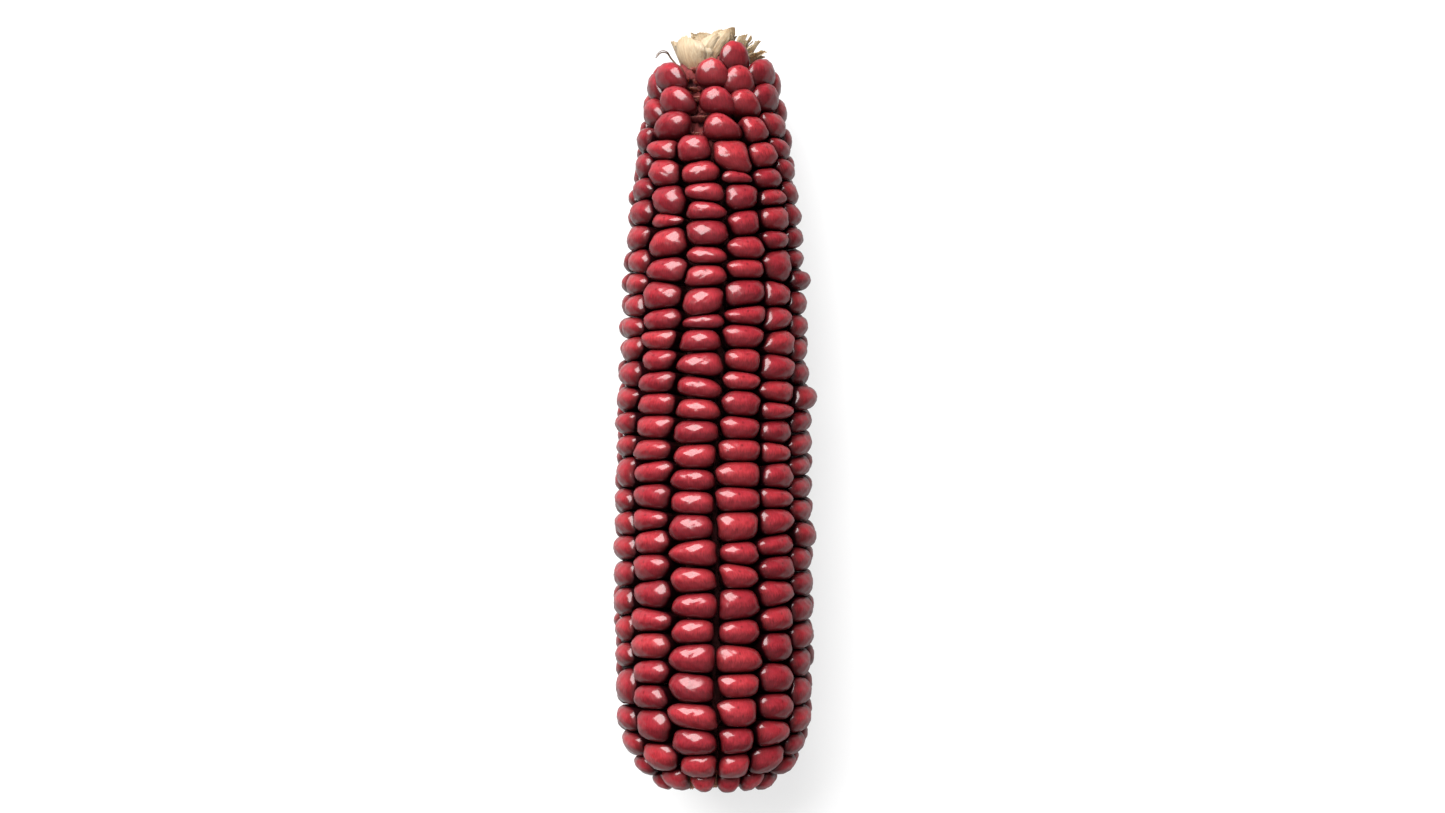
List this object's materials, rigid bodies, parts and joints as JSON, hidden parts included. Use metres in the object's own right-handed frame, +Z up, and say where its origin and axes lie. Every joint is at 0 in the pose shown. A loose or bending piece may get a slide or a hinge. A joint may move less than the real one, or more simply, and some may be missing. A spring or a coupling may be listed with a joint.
{
  "type": "ear of red flint corn",
  "caption": "Husked, dried ear of red flint corn lying on its side: rows of glossy kernels on a woody cob, with papery chaff at the tip.",
  "frame": {"origin": "under the middle of the bounding box, on the surface that the ear rests on", "axes": "+Y along the ear from the butt to the tip, +Z up, +X to the right when looking from the butt towards the tip"},
  "size_m": [0.0398, 0.1486, 0.0389],
  "materials": {
    "kernel_skin": "glossy, deep red, darker between the kernels",
    "cob_wood": "dull dark red chaffy cob, pale fibrous scar at the butt",
    "papery_chaff": "dull beige papery scales",
    "dry_silk": "dull brown dry thread"
  },
  "bodies": {
    "root": {"cob": "cob_wood", "inner_glume_1": "papery_chaff", "inner_glume_2": "papery_chaff", "inner_glume_3": "papery_chaff", "inner_glume_4": "papery_chaff", "kernel_row_01": "kernel_skin", "kernel_row_02": "kernel_skin", "kernel_row_03": "kernel_skin", "kernel_row_04": "kernel_skin", "kernel_row_05": "kernel_skin", "kernel_row_06": "kernel_skin", "kernel_row_07": "kernel_skin", "kernel_row_08": "kernel_skin", "kernel_row_09": "kernel_skin", "kernel_row_10": "kernel_skin", "kernel_row_11": "kernel_skin", "kernel_row_12": "kernel_skin", "outer_glume_1": "papery_chaff", "outer_glume_2": "papery_chaff", "outer_glume_3": "papery_chaff", "outer_glume_4": "papery_chaff", "outer_glume_5": "papery_chaff", "outer_glume_6": "papery_chaff", "outer_glume_7": "papery_chaff", "silk_strand": "dry_silk", "tip_kernel_01": "kernel_skin", "tip_kernel_02": "kernel_skin", "tip_kernel_03": "kernel_skin", "tip_kernel_04": "kernel_skin", "tip_kernel_05": "kernel_skin", "tip_kernel_06": "kernel_skin", "tip_kernel_07": "kernel_skin", "tip_kernel_08": "kernel_skin", "tip_kernel_09": "kernel_skin", "tip_kernel_10": "kernel_skin", "tip_kernel_11": "kernel_skin", "tip_kernel_12": "kernel_skin", "tip_kernel_13": "kernel_skin", "tip_kernel_14": "kernel_skin", "tip_kernel_15": "kernel_skin", "tip_kernel_16": "kernel_skin", "tip_kernel_17": "kernel_skin", "tip_kernel_18": "kernel_skin", "tip_kernel_19": "kernel_skin", "tip_kernel_20": "kernel_skin", "tip_kernel_21": "kernel_skin", "tip_kernel_22": "kernel_skin", "tip_kernel_23": "kernel_skin", "tip_kernel_24": "kernel_skin", "tip_kernel_25": "kernel_skin", "torn_glume_1": "papery_chaff", "torn_glume_2": "papery_chaff"}
  },
  "joints": []
}
